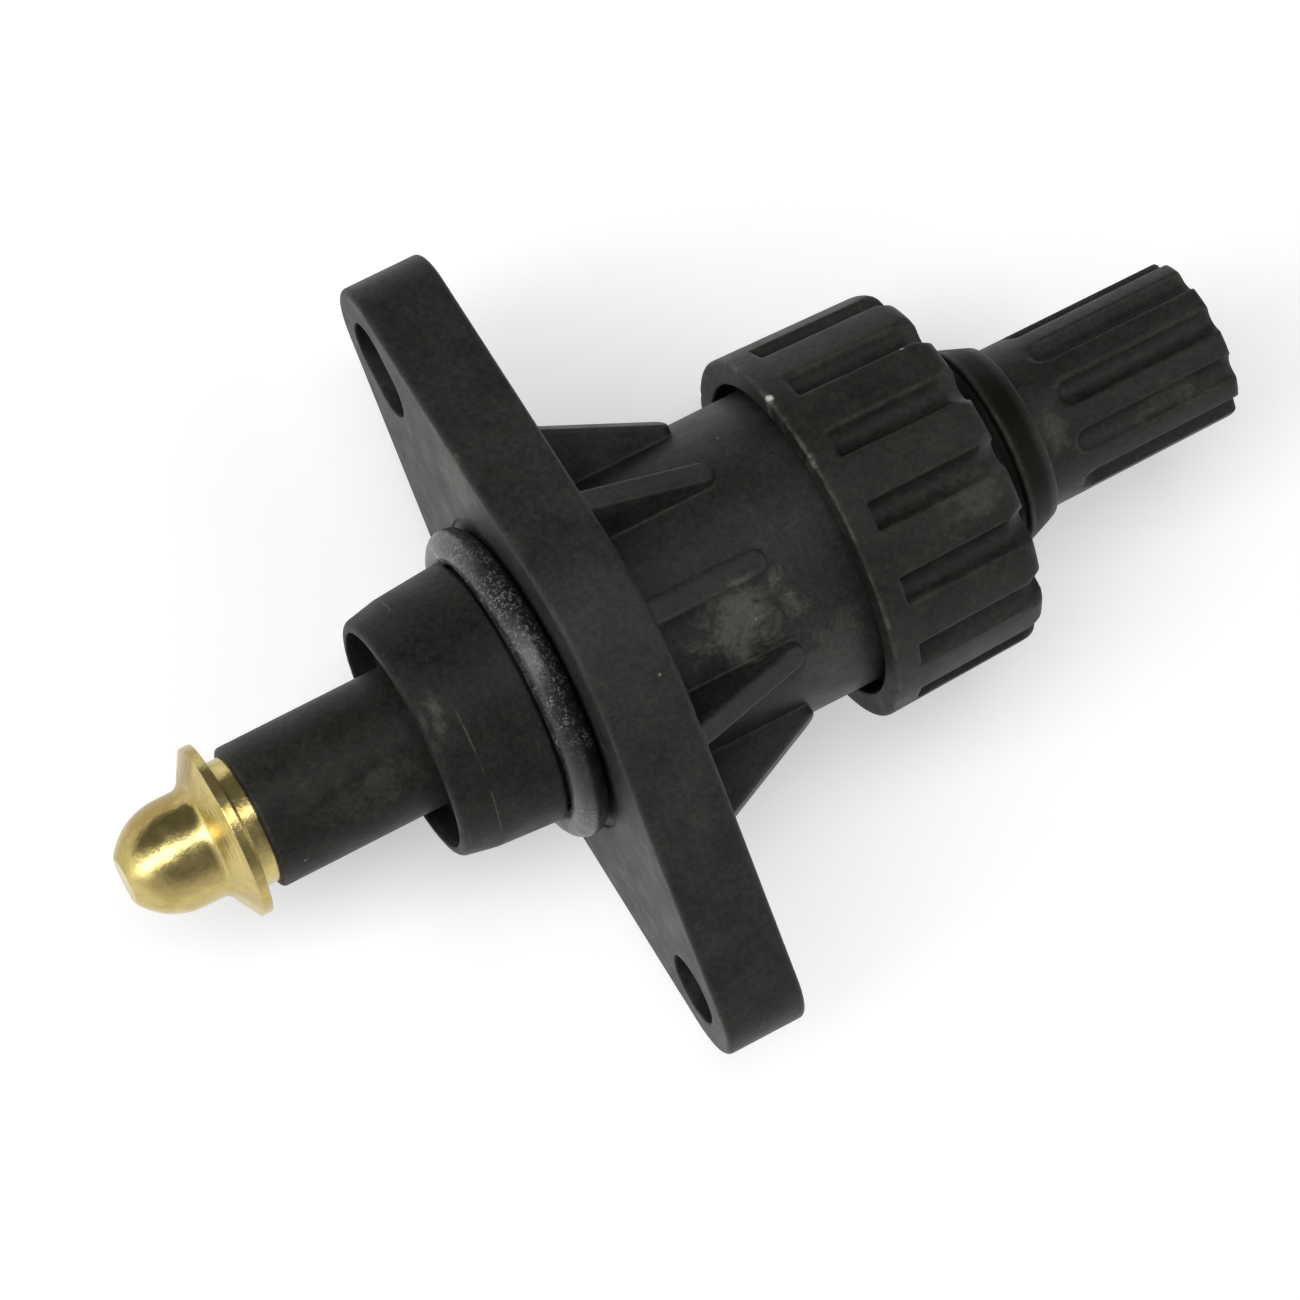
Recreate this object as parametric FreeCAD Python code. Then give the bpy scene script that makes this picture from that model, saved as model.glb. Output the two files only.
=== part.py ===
import FreeCAD, Part
import math
import os

Vector = FreeCAD.Vector

# Driving dimensions, all in millimetres and degrees.
# X runs along the valve's axis from the nose to the knob, with zero on the flange's mounting face.
# Y runs along the flange towards its slotted end.

# Mounting flange
flange_thickness = 6.4
flange_half_width = 16.1
flange_end_wall = 2.0
flange_end_overhang = 0.6
flange_edge_round = 0.45
screw_spacing = 50.0
screw_pair_shift = 0.5
screw_hole_diameter = 5.6
screw_slot_length = 7.6
screw_slot_width = 5.6

# Nose spigot, tapered towards its front
spigot_length = 10.7
spigot_root_diameter = 21.0
spigot_front_diameter = 19.4
spigot_lead_length = 2.7
spigot_lead_drop = 0.35
spigot_front_round = 0.6
spigot_rim_width = 0.75
spigot_recess_depth = 2.0

# Outer seal ring on the spigot
seal_ring_section = 2.7
seal_groove_depth = 0.95
seal_groove_side_clearance = 0.15
seal_groove_floor_clearance = 0.05
seal_relief_clearance = 0.08
seal_relief_depth = 0.12

# Ribbed barrel behind the flange
barrel_diameter = 23.4
barrel_exposed_length = 15.6
barrel_end_chamfer = 0.6
rib_count = 10
rib_thickness = 1.9
rib_height = 5.1
rib_length = 9.9
rib_rim_margin = 0.5
rib_root_depth = 1.5
rib_end_height = 0.7
rib_end_round = 0.85
rib_edge_round = 0.3

# Knurled gland nut
nut_length = 12.8
nut_wall = 2.65
nut_draft = 0.4
nut_front_round = 0.3
nut_rear_round = 1.3
nut_rear_wall = 2.5
nut_collar_gap = 0.85
nut_collar_depth = 2.2
nut_groove_count = 15
nut_groove_radius = 1.15
nut_groove_depth = 1.2
nut_groove_setback = 2.0
nut_groove_phase = 4.0
nut_groove_runout_length = 1.4
nut_groove_runout_drop = 1.0

# Ring that the nut presses on
gland_ring_thickness = 1.4
gland_ring_side_clearance = 0.3
gland_face_gap = 0.1

# Spindle: rod, coarse thread and fluted knob in one moulding
rod_diameter = 11.0
rod_exposed_length = 12.4
rod_edge_round = 0.35
thread_diameter = 16.0
thread_exposed_length = 1.1
thread_end_chamfer = 0.7
runout_width = 1.3
runout_depth = 0.85
collar_width = 2.9
collar_round = 0.4
collar_rear_diameter = 13.8
collar_rear_round = 0.3
knob_length = 16.0
knob_base_diameter = 12.8
knob_end_diameter = 12.6
knob_end_round = 0.35
flute_count = 10
flute_radius = 1.1
flute_depth = 0.85
flute_setback = 2.5
flute_phase = 30.0
travel_in = 3.0
travel_out = 9.0
thread_relief = 0.5

# Inner seal ring on the rod
stem_seal_section = 1.8
stem_seal_setback = 5.0
stem_groove_side_clearance = 0.15
stem_seal_clearance = 0.06

# Turned pintle tip
tip_end_diameter = 3.7
dome_diameter = 8.4
dome_length = 4.3
neck_length = 1.9
neck_round = 0.9
rim_diameter = 13.3
rim_width = 0.75
rim_front_cone_length = 1.4
rim_back_cone_length = 0.35
shoulder_diameter = 9.8
shoulder_length = 1.15
shank_diameter = 5.0
shank_length = 7.0
shank_clearance = 0.02

# Running clearances, each one on the radius
rod_clearance = 0.06
thread_clearance = 0.10
nut_clearance = 0.10

# Places along the axis and the flange, worked out from the sizes above
spigot_front = -spigot_length
rod_front = spigot_front - rod_exposed_length
nut_front = flange_thickness + barrel_exposed_length
nut_rear = nut_front + nut_length
nut_seat = nut_rear - nut_rear_wall
gland_rear = nut_seat - gland_face_gap
gland_front = gland_rear - gland_ring_thickness
body_rear = gland_front - gland_face_gap
runout_front = nut_rear + thread_exposed_length
collar_front = runout_front + runout_width
knob_base = collar_front + collar_width
knob_end = knob_base + knob_length
stem_seal_place = spigot_front + stem_seal_setback
stem_groove_half = stem_seal_section / 2 + stem_groove_side_clearance
bore_step = max(flange_thickness, stem_seal_place + travel_out + stem_groove_half) + thread_relief
thread_front = bore_step + travel_in + thread_relief
seal_ring_place = seal_relief_depth - seal_groove_side_clearance - seal_ring_section / 2
seal_groove_front = seal_ring_place - seal_ring_section / 2 - seal_groove_side_clearance
screw_hole_offset = screw_spacing / 2 + screw_pair_shift
screw_slot_offset = screw_spacing / 2 - screw_pair_shift
flange_end_offset = screw_hole_offset + flange_end_overhang

# Radii shared by pieces that fit together
rod_radius = rod_diameter / 2
thread_radius = thread_diameter / 2
barrel_radius = barrel_diameter / 2
spigot_root_radius = spigot_root_diameter / 2
guide_bore_radius = rod_radius + rod_clearance
thread_bore_radius = thread_radius + thread_clearance
nut_bore_radius = barrel_radius + nut_clearance
nut_front_radius = nut_bore_radius + nut_wall
nut_rear_radius = nut_front_radius - nut_draft
flange_end_radius = screw_hole_diameter / 2 + flange_end_wall
seal_groove_radius = spigot_root_radius - seal_groove_depth
seal_ring_outer_radius = seal_groove_radius + seal_groove_floor_clearance + seal_ring_section
seal_relief_radius = seal_ring_outer_radius + seal_relief_clearance
stem_seal_centre_radius = guide_bore_radius - stem_seal_clearance - stem_seal_section / 2
stem_groove_radius = stem_seal_centre_radius - stem_seal_section / 2 - stem_seal_clearance

axis = Vector(1, 0, 0)
origin = Vector(0, 0, 0)
overrun = 1.0
edge_tolerance = 0.01
rib_end_round_share = 0.47


def profile_face(corners):
    # A closed outline of (place along X, radius, corner rounding) corners in the XZ plane.
    # Each rounding is kept under half of the shorter side beside it.
    edges = []
    points = [Vector(x, 0, radius) for x, radius, _ in corners]
    entries = []
    exits = []
    for index, (_, _, rounding) in enumerate(corners):
        corner = points[index]
        back = points[index - 1] - corner
        ahead = points[(index + 1) % len(points)] - corner
        if rounding <= 0:
            entries.append((corner, None))
            exits.append(corner)
            continue
        half_angle = back.getAngle(ahead) / 2
        reach = min(rounding / math.tan(half_angle), 0.48 * back.Length, 0.48 * ahead.Length)
        radius = reach * math.tan(half_angle)
        back.normalize()
        ahead.normalize()
        bisector = back + ahead
        bisector.normalize()
        middle = corner + bisector * (radius / math.sin(half_angle) - radius)
        entries.append((corner + back * reach, middle))
        exits.append(corner + ahead * reach)
    for index, (entry, middle) in enumerate(entries):
        edges.append(Part.makeLine(exits[index - 1], entry))
        if middle is not None:
            edges.append(Part.Arc(entry, middle, exits[index]).toShape())
    return Part.Face(Part.Wire(Part.sortEdges(edges)[0]))


def turned(corners):
    return profile_face(corners).revolve(origin, axis, 360)


def bore(start, end, radius):
    return Part.makeCylinder(radius, end - start, Vector(start, 0, 0), axis)


def ring_of_section(place, centre_radius, section):
    return Part.makeTorus(centre_radius, section / 2, Vector(place, 0, 0), axis)


def turned_about_axis(shape, angle):
    # Positive angles turn from the flange's top, +Z, towards its round hole, -Y.
    copy = shape.copy()
    copy.rotate(origin, axis, angle)
    return copy


def flange_outline():
    # Two end arcs and two side arcs joined by straight lines that touch them both.
    slope = math.asin((flange_half_width - flange_end_radius) / flange_end_offset)
    side = Vector(0, flange_half_width * math.sin(slope), flange_half_width * math.cos(slope))
    end_y = flange_end_offset + flange_end_radius * math.sin(slope)
    end = Vector(0, end_y, flange_end_radius * math.cos(slope))

    def mirrored(point, y_sign, z_sign):
        return Vector(0, point.y * y_sign, point.z * z_sign)

    tip = Vector(0, flange_end_offset + flange_end_radius, 0)
    top = Vector(0, 0, flange_half_width)
    edges = []
    for z_sign in (1, -1):
        crest = mirrored(top, 1, z_sign)
        edges.append(Part.Arc(mirrored(side, -1, z_sign), crest, mirrored(side, 1, z_sign)).toShape())
    for y_sign in (1, -1):
        far = mirrored(tip, y_sign, 1)
        edges.append(Part.Arc(mirrored(end, y_sign, 1), far, mirrored(end, y_sign, -1)).toShape())
        for z_sign in (1, -1):
            start = mirrored(side, y_sign, z_sign)
            edges.append(Part.makeLine(start, mirrored(end, y_sign, z_sign)))
    return Part.Face(Part.Wire(Part.sortEdges(edges)[0]))


def flange_reach(angle):
    # Distance from the axis to the flange's edge, for an angle measured from its short half-width.
    slope = math.asin((flange_half_width - flange_end_radius) / flange_end_offset)
    lean = abs(math.asin(math.sin(math.radians(angle)))) - slope
    return flange_half_width / math.cos(max(lean, 0))


def flange():
    plate = flange_outline().extrude(axis * flange_thickness)
    rims = [edge for edge in plate.Edges if edge.BoundBox.XLength < flange_thickness / 2]
    plate = plate.makeFillet(flange_edge_round, rims)
    hole = Part.makeCylinder(
        screw_hole_diameter / 2,
        flange_thickness + 2 * overrun,
        Vector(-overrun, -screw_hole_offset, 0),
        axis,
    )
    straight = screw_slot_length - screw_slot_width
    slot = Part.makeBox(flange_thickness + 2 * overrun, straight, screw_slot_width)
    slot.translate(Vector(-overrun, screw_slot_offset - straight / 2, -screw_slot_width / 2))
    for side in (-1, 1):
        end = Vector(-overrun, screw_slot_offset + side * straight / 2, 0)
        slot = slot.fuse(Part.makeCylinder(screw_slot_width / 2, flange_thickness + 2 * overrun, end, axis))
    return plate.cut(hole).cut(slot.removeSplitter())


def rib(angle):
    # A gusset from the flange's back to the barrel, held inside the flange's edge.
    reach = min(barrel_radius + rib_height, flange_reach(angle) - rib_rim_margin)
    foot = barrel_radius - rib_root_depth
    start = flange_thickness / 2
    end = flange_thickness + rib_length
    outline = [
        Vector(start, 0, foot),
        Vector(start, 0, reach),
        Vector(flange_thickness, 0, reach),
        Vector(end, 0, barrel_radius + rib_end_height),
        Vector(end, 0, foot),
    ]
    plate = Part.Face(Part.makePolygon(outline + outline[:1])).extrude(Vector(0, rib_thickness, 0))
    plate.translate(Vector(0, -rib_thickness / 2, 0))
    upright = [edge for edge in plate.Edges if edge.BoundBox.YLength < edge_tolerance]
    end_edges = [edge for edge in upright if edge.BoundBox.XMin > end - edge_tolerance]
    plate = plate.makeFillet(min(rib_end_round, rib_end_round_share * rib_thickness), end_edges)
    ridge = max(plate.Faces, key=lambda face: min(face.normalAt(0, 0).x, face.normalAt(0, 0).z))
    ridge_edges = [edge for edge in ridge.Edges if edge.BoundBox.XMax > flange_thickness + edge_tolerance]
    plate = plate.makeFillet(rib_edge_round, ridge_edges)
    return turned_about_axis(plate, angle)


def spigot_radius(place):
    # The spigot's taper, from its front to the flange.
    share = (place - spigot_front) / spigot_length
    front = spigot_front_diameter / 2
    return front + (spigot_root_radius - front) * share


def valve_body():
    lead_end = spigot_front + spigot_lead_length
    outside = turned([
        (spigot_front, 0, 0),
        (spigot_front, spigot_radius(spigot_front) - spigot_lead_drop, spigot_front_round),
        (lead_end, spigot_radius(lead_end), 0),
        (seal_groove_front, spigot_radius(seal_groove_front), 0),
        (seal_groove_front, seal_groove_radius, 0),
        (flange_thickness / 2, seal_groove_radius, 0),
        (flange_thickness / 2, barrel_radius, 0),
        (body_rear - barrel_end_chamfer, barrel_radius, 0),
        (body_rear, barrel_radius - barrel_end_chamfer, 0),
        (body_rear, 0, 0),
    ])
    ribs = [rib(index * 360 / rib_count) for index in range(rib_count)]
    solid = flange().fuse([outside] + ribs)
    recess_radius = spigot_radius(spigot_front) - spigot_lead_drop - spigot_rim_width
    relief = bore(0, seal_relief_depth, seal_relief_radius)
    relief = relief.cut(bore(0, seal_relief_depth, seal_groove_radius))
    for cutter in (
        bore(spigot_front - overrun, body_rear, guide_bore_radius),
        bore(spigot_front - overrun, spigot_front + spigot_recess_depth, recess_radius),
        bore(bore_step, body_rear + overrun, thread_bore_radius),
        relief,
    ):
        solid = solid.cut(cutter)
    return solid.removeSplitter()


def body_seal_ring():
    centre_radius = seal_ring_outer_radius - seal_ring_section / 2
    return ring_of_section(seal_ring_place, centre_radius, seal_ring_section)


def channel(start, end, start_radius, end_radius, cutter_radius, depth, ball_nosed):
    # A round-bottomed cutter laid along +Z's side of a cone, sunk by the depth at both ends.
    lift = cutter_radius - depth
    begin = Vector(start, 0, start_radius + lift)
    finish = Vector(end, 0, end_radius + lift)
    along = finish - begin
    cutter = Part.makeCylinder(cutter_radius, along.Length, begin, along)
    if ball_nosed:
        cutter = cutter.fuse(Part.makeSphere(cutter_radius, begin)).removeSplitter()
    return cutter


def gland_nut():
    collar_end = nut_front + nut_collar_depth
    solid = turned([
        (nut_front, barrel_radius + nut_collar_gap, 0),
        (nut_front, nut_front_radius, nut_front_round),
        (nut_rear, nut_rear_radius, nut_rear_round),
        (nut_rear, thread_bore_radius, 0),
        (nut_seat, thread_bore_radius, 0),
        (nut_seat, nut_bore_radius, 0),
        (collar_end, nut_bore_radius, 0),
        (collar_end, barrel_radius + nut_collar_gap, 0),
    ])
    taper = -nut_draft / nut_length
    start = nut_front + nut_groove_setback
    end = nut_rear + overrun
    start_radius = nut_front_radius + taper * nut_groove_setback
    end_radius = nut_rear_radius + taper * overrun
    cutter = channel(start, end, start_radius, end_radius, nut_groove_radius, nut_groove_depth, False)
    # Each groove falls away more steeply as it leaves the rear edge.
    bend = nut_rear - nut_groove_runout_length
    bend_radius = nut_rear_radius - taper * nut_groove_runout_length
    fall = nut_groove_runout_drop / nut_groove_runout_length
    fallen_radius = bend_radius - fall * (end - bend)
    runout = channel(bend, end, bend_radius, fallen_radius, nut_groove_radius, nut_groove_depth, False)
    cutter = cutter.fuse(runout)
    pitch = 360 / nut_groove_count
    grooves = [turned_about_axis(cutter, nut_groove_phase + pitch * k) for k in range(nut_groove_count)]
    return solid.cut(grooves)


def gland_ring():
    outer = Part.makeCylinder(
        nut_bore_radius - gland_ring_side_clearance,
        gland_ring_thickness,
        Vector(gland_front, 0, 0),
        axis,
    )
    return outer.cut(bore(gland_front - overrun, gland_rear + overrun, thread_bore_radius))


def adjuster_spindle():
    base_radius = knob_base_diameter / 2
    end_radius = knob_end_diameter / 2
    runout_radius = thread_radius - runout_depth
    stem_groove_front = stem_seal_place - stem_groove_half
    stem_groove_rear = stem_seal_place + stem_groove_half
    solid = turned([
        (rod_front, 0, 0),
        (rod_front, rod_radius, rod_edge_round),
        (stem_groove_front, rod_radius, 0),
        (stem_groove_front, stem_groove_radius, 0),
        (stem_groove_rear, stem_groove_radius, 0),
        (stem_groove_rear, rod_radius, 0),
        (thread_front, rod_radius, 0),
        (thread_front + thread_end_chamfer, thread_radius, 0),
        (runout_front, thread_radius, collar_round),
        (runout_front, runout_radius, 0),
        (collar_front, runout_radius, 0),
        (collar_front, thread_radius, collar_round),
        (knob_base, collar_rear_diameter / 2, collar_rear_round),
        (knob_base, base_radius, 0),
        (knob_end, end_radius, knob_end_round),
        (knob_end, 0, 0),
    ])
    taper = (end_radius - base_radius) / knob_length
    start = knob_base + flute_setback + flute_radius
    cutter = channel(
        start,
        knob_end + overrun,
        base_radius + taper * (start - knob_base),
        end_radius + taper * overrun,
        flute_radius,
        flute_depth,
        True,
    )
    pitch = 360 / flute_count
    flutes = [turned_about_axis(cutter, flute_phase + pitch * k) for k in range(flute_count)]
    socket_end = rod_front + shank_length + overrun
    socket = bore(rod_front - overrun, socket_end, shank_diameter / 2 + shank_clearance)
    return solid.cut(flutes).cut(socket)


def stem_seal_ring():
    return ring_of_section(stem_seal_place, stem_seal_centre_radius, stem_seal_section)


def pintle_tip():
    # From the rod forwards: shank, shoulder, thin rim between two cones, neck and rounded dome.
    rim_back = rod_front - shoulder_length - rim_back_cone_length
    rim_front = rim_back - rim_width
    neck_rear = rim_front - rim_front_cone_length
    neck_front = neck_rear - neck_length
    tip_end = neck_front - dome_length
    neck_radius = dome_diameter / 2
    shank_end = rod_front + shank_length
    body = turned([
        (neck_front, 0, 0),
        (neck_front, neck_radius, 0),
        (neck_rear, neck_radius, neck_round),
        (rim_front, rim_diameter / 2, 0),
        (rim_back, rim_diameter / 2, 0),
        (rim_back + rim_back_cone_length, shoulder_diameter / 2, 0),
        (rod_front, shoulder_diameter / 2, 0),
        (rod_front, shank_diameter / 2, 0),
        (shank_end, shank_diameter / 2, 0),
        (shank_end, 0, 0),
    ])
    # The dome's side is an arc that leaves the neck along the axis and ends at the flat tip.
    end_radius = tip_end_diameter / 2
    drop = neck_radius - end_radius
    arc_radius = (dome_length ** 2 + drop ** 2) / (2 * drop)
    half_turn = math.asin(dome_length / arc_radius) / 2
    arc_middle = Vector(
        neck_front - arc_radius * math.sin(half_turn),
        0,
        neck_radius - arc_radius * (1 - math.cos(half_turn)),
    )
    start = Vector(neck_front, 0, neck_radius)
    finish = Vector(tip_end, 0, end_radius)
    edges = [
        Part.Arc(start, arc_middle, finish).toShape(),
        Part.makeLine(finish, Vector(tip_end, 0, 0)),
        Part.makeLine(Vector(tip_end, 0, 0), Vector(neck_front, 0, 0)),
        Part.makeLine(Vector(neck_front, 0, 0), start),
    ]
    dome = Part.Face(Part.Wire(Part.sortEdges(edges)[0])).revolve(origin, axis, 360)
    return body.fuse(dome).removeSplitter()


pieces = {
    "valve_body": valve_body,
    "body_seal_ring": body_seal_ring,
    "gland_nut": gland_nut,
    "gland_ring": gland_ring,
    "adjuster_spindle": adjuster_spindle,
    "stem_seal_ring": stem_seal_ring,
    "pintle_tip": pintle_tip,
}

os.makedirs("parts", exist_ok=True)
for name, make in pieces.items():
    shape = make()
    solids = shape.Solids
    if len(solids) == 1:
        shape = solids[0]
    print(name, "solids", len(solids), "valid", shape.isValid(), "volume", round(shape.Volume, 2))
    shape.exportStep(os.path.join("parts", name + ".step"))
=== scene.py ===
import bpy
import math
import numpy as np
from mathutils import Matrix, Vector


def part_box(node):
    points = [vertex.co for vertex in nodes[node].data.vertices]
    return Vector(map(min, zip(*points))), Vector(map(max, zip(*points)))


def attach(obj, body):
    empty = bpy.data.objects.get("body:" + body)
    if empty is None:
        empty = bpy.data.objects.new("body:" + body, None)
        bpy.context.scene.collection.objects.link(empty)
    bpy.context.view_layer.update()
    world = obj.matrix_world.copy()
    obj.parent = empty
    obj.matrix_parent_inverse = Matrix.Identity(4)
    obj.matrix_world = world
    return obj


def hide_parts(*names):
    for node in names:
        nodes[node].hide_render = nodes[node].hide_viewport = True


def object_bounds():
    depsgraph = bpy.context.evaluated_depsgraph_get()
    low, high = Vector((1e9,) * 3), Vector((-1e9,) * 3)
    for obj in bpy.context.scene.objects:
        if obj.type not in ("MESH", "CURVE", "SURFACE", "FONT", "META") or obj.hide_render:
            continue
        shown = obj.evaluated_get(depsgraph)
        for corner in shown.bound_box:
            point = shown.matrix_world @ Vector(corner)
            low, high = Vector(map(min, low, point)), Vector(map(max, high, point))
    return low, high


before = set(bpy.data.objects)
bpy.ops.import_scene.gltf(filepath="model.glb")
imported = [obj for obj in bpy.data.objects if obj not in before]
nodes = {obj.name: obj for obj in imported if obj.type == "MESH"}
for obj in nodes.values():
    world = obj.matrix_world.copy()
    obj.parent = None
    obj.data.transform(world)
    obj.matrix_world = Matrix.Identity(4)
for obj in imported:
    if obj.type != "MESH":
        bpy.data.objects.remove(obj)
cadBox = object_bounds()
mm = 0.001  # sizes below are in millimetres unless a note says otherwise
turn = 2 * math.pi
print("frame loaded:", len(nodes), "nodes")


# corners are (place, radius, rounding, step): each becomes a curve that touches both of its sides,
# and each straight stretch is divided by the step of the corner that it leaves
def roundedLine(corners, closed=False, arcSteps=7, sideShare=0.48):
    points = np.array([corner[:2] for corner in corners], float)
    count = len(points)
    arcs = []
    for k, corner in enumerate(corners):
        here, rounding = points[k], corner[2]
        openEnd = not closed and k in (0, count - 1)
        if rounding <= 0 or openEnd:
            arcs.append(here[None, :])
            continue
        back = points[k - 1] - here
        ahead = points[(k + 1) % count] - here
        backLength, aheadLength = np.linalg.norm(back), np.linalg.norm(ahead)
        back, ahead = back / backLength, ahead / aheadLength
        half = math.acos(np.clip(back @ ahead, -1, 1)) / 2
        reach = min(rounding / math.tan(half), sideShare * backLength, sideShare * aheadLength)
        entry, leave = here + back * reach, here + ahead * reach
        t = np.linspace(0, 1, arcSteps)[:, None]  # one quadratic curve
        arcs.append((1 - t) ** 2 * entry + 2 * t * (1 - t) * here + t ** 2 * leave)
    runs = []
    for k in range(count if closed else count - 1):
        start, finish = arcs[k][-1], arcs[(k + 1) % count][0]
        pieces = max(1, int(np.ceil(np.linalg.norm(finish - start) / corners[k][3])))
        t = np.linspace(0, 1, pieces + 1)[1:-1, None]
        runs += [arcs[k], start + (finish - start) * t]
    if not closed:
        runs.append(arcs[-1])
    return np.concatenate(runs)


# rows (along a profile) and columns (round the axis) made into one closed mesh, with its wear values
def gridMesh(name, points, wear, closedRows):
    rows, cols = points.shape[:2]
    index = np.arange(rows * cols).reshape(rows, cols)
    a = index if closedRows else index[:-1]
    b = np.roll(index, -1, 0) if closedRows else index[1:]
    quads = np.stack([a, np.roll(a, -1, 1), np.roll(b, -1, 1), b], 2).reshape(-1, 4)
    verts, wear = points.reshape(-1, 3), wear.reshape(-1)
    faces = quads.tolist()
    if not closedRows:  # a fan of triangles closes each end at its pole
        poles = points[[0, -1]].mean(1)
        first, last = index[0], index[-1]
        size = len(verts)
        verts, wear = np.concatenate([verts, poles]), np.append(wear, [0, 0])
        faces += np.stack([np.roll(first, -1), first, np.full(cols, size)], 1).tolist()
        faces += np.stack([last, np.roll(last, -1), np.full(cols, size + 1)], 1).tolist()
    mesh = bpy.data.meshes.new(name)
    mesh.from_pydata((verts * mm).tolist(), [], faces)
    mesh.polygons.foreach_set("use_smooth", np.ones(len(mesh.polygons), bool))
    mesh.attributes.new("wear", "FLOAT", "POINT").data.foreach_set("value", wear.astype(np.float32))
    mesh.update()
    obj = bpy.data.objects.new(name, mesh)
    bpy.context.scene.collection.objects.link(obj)
    return obj


# how sharply a profile turns at each of its points: 0 where it is straight, 1 on tight outward corners
def cornerWear(line, closed, shortest=0.05, fullBend=1.6):
    ahead, back = np.roll(line, -1, 0) - line, line - np.roll(line, 1, 0)
    aheadLength, backLength = np.linalg.norm(ahead, axis=1), np.linalg.norm(back, axis=1)
    lean = back[:, 1] * ahead[:, 0] - back[:, 0] * ahead[:, 1]
    lean = lean / np.maximum(backLength * aheadLength, 1e-9)
    bend = np.clip(lean / np.maximum(backLength + aheadLength, shortest), 0, fullBend) / fullBend
    if not closed:
        bend[[0, -1]] = 0
    return bend[:, None]


# radius as a function of (row, angle) swept round X: y = r cos a, z = r sin a
def sweptPoints(place, radius, angle):
    place = np.broadcast_to(place[:, None], radius.shape)
    return np.stack([place, radius * np.cos(angle), radius * np.sin(angle)], 2)


# the smaller of two radii, the crease between them rounded over the distance soft; also how near it is
def softLower(first, second, soft):
    share = np.clip(0.5 + 0.5 * (second - first) / soft, 0, 1)
    return second + (first - second) * share - soft * share * (1 - share), 4 * share * (1 - share)


# distance round the surface from each angle to the nearest of count channels
def acrossChannel(angle, radius, count, phase):
    pitch = turn / count
    offset = np.mod(angle - phase + pitch / 2, pitch) - pitch / 2
    return np.abs(offset) * radius


# radius of a round-bottomed channel cut into a cone: cone + lift - sqrt(cutter^2 - across^2)
def channelRadius(cone, across, cutter, lift):
    inside = np.sqrt(np.clip(cutter ** 2 - across ** 2, 0, None))
    return cone + lift - inside + np.clip(across - cutter, 0, None)


def smoothStep(value, low, high):
    t = np.clip((value - low) / (high - low), 0, 1)
    return t * t * (3 - 2 * t)


def viewAngle(degrees):  # angles are read from the side that faces up, +Z, and grow towards -Y
    return math.radians(degrees) + math.pi / 2


# material nodes
def newMaterial(name):
    mat = bpy.data.materials.new(name)
    mat.use_nodes = True
    tree = mat.node_tree
    tree.nodes.clear()
    out = tree.nodes.new("ShaderNodeOutputMaterial")
    shader = tree.nodes.new("ShaderNodeBsdfPrincipled")
    tree.links.new(shader.outputs["BSDF"], out.inputs["Surface"])
    return mat, tree, shader


# a constant goes straight on the socket, anything else is linked to it
def feed(tree, socket, value):
    if isinstance(value, tuple):
        socket.default_value = (*value, 1)
    elif isinstance(value, (int, float)):
        socket.default_value = value
    else:
        tree.links.new(value, socket)


def objectPlace(tree, scale=(1, 1, 1)):
    coord = tree.nodes.new("ShaderNodeTexCoord")
    mapping = tree.nodes.new("ShaderNodeMapping")
    mapping.inputs["Scale"].default_value = scale
    tree.links.new(coord.outputs["Object"], mapping.inputs["Vector"])
    return mapping.outputs["Vector"]


def noise(tree, place, grain):
    node = tree.nodes.new("ShaderNodeTexNoise")
    node.inputs["Scale"].default_value = grain["scale"]
    node.inputs["Detail"].default_value = grain["detail"]
    node.inputs["Roughness"].default_value = grain["rough"]
    node.inputs["Distortion"].default_value = grain.get("warp", 0.0)
    tree.links.new(place, node.inputs["Vector"])
    return node.outputs["Fac"]


def ramp(tree, value, stops, smooth=False):
    node = tree.nodes.new("ShaderNodeValToRGB")
    node.color_ramp.interpolation = "EASE" if smooth else "LINEAR"
    for item, (at, shade) in zip(node.color_ramp.elements, stops):
        item.position = at
        item.color = (shade, shade, shade, 1)
    tree.links.new(value, node.inputs["Fac"])
    return node.outputs["Color"]


# noise whose levels from low to high are spread from the first value to the second
def mottle(tree, place, grain, first=0.0, second=1.0):
    return ramp(tree, noise(tree, place, grain), [(grain["low"], first), (grain["high"], second)])


def mathNode(tree, kind, first, second, clamp=True):
    node = tree.nodes.new("ShaderNodeMath")
    node.operation = kind
    node.use_clamp = clamp
    feed(tree, node.inputs[0], first)
    feed(tree, node.inputs[1], second)
    return node.outputs[0]


def times(tree, first, second):
    return mathNode(tree, "MULTIPLY", first, second)


def larger(tree, first, second):
    return mathNode(tree, "MAXIMUM", first, second)


def lessen(tree, first, second):
    return mathNode(tree, "SUBTRACT", first, second)


def mixColour(tree, share, low, high, kind="MIX"):
    node = tree.nodes.new("ShaderNodeMix")
    node.data_type = "RGBA"
    node.blend_type = kind
    for slot, value in ((0, share), (6, low), (7, high)):  # the sockets of a colour mix
        feed(tree, node.inputs[slot], value)
    return node.outputs[2]


def vectorNode(tree, kind, vector):
    node = tree.nodes.new("ShaderNodeVectorMath")
    node.operation = kind
    tree.links.new(vector, node.inputs[0])
    return node


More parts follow.
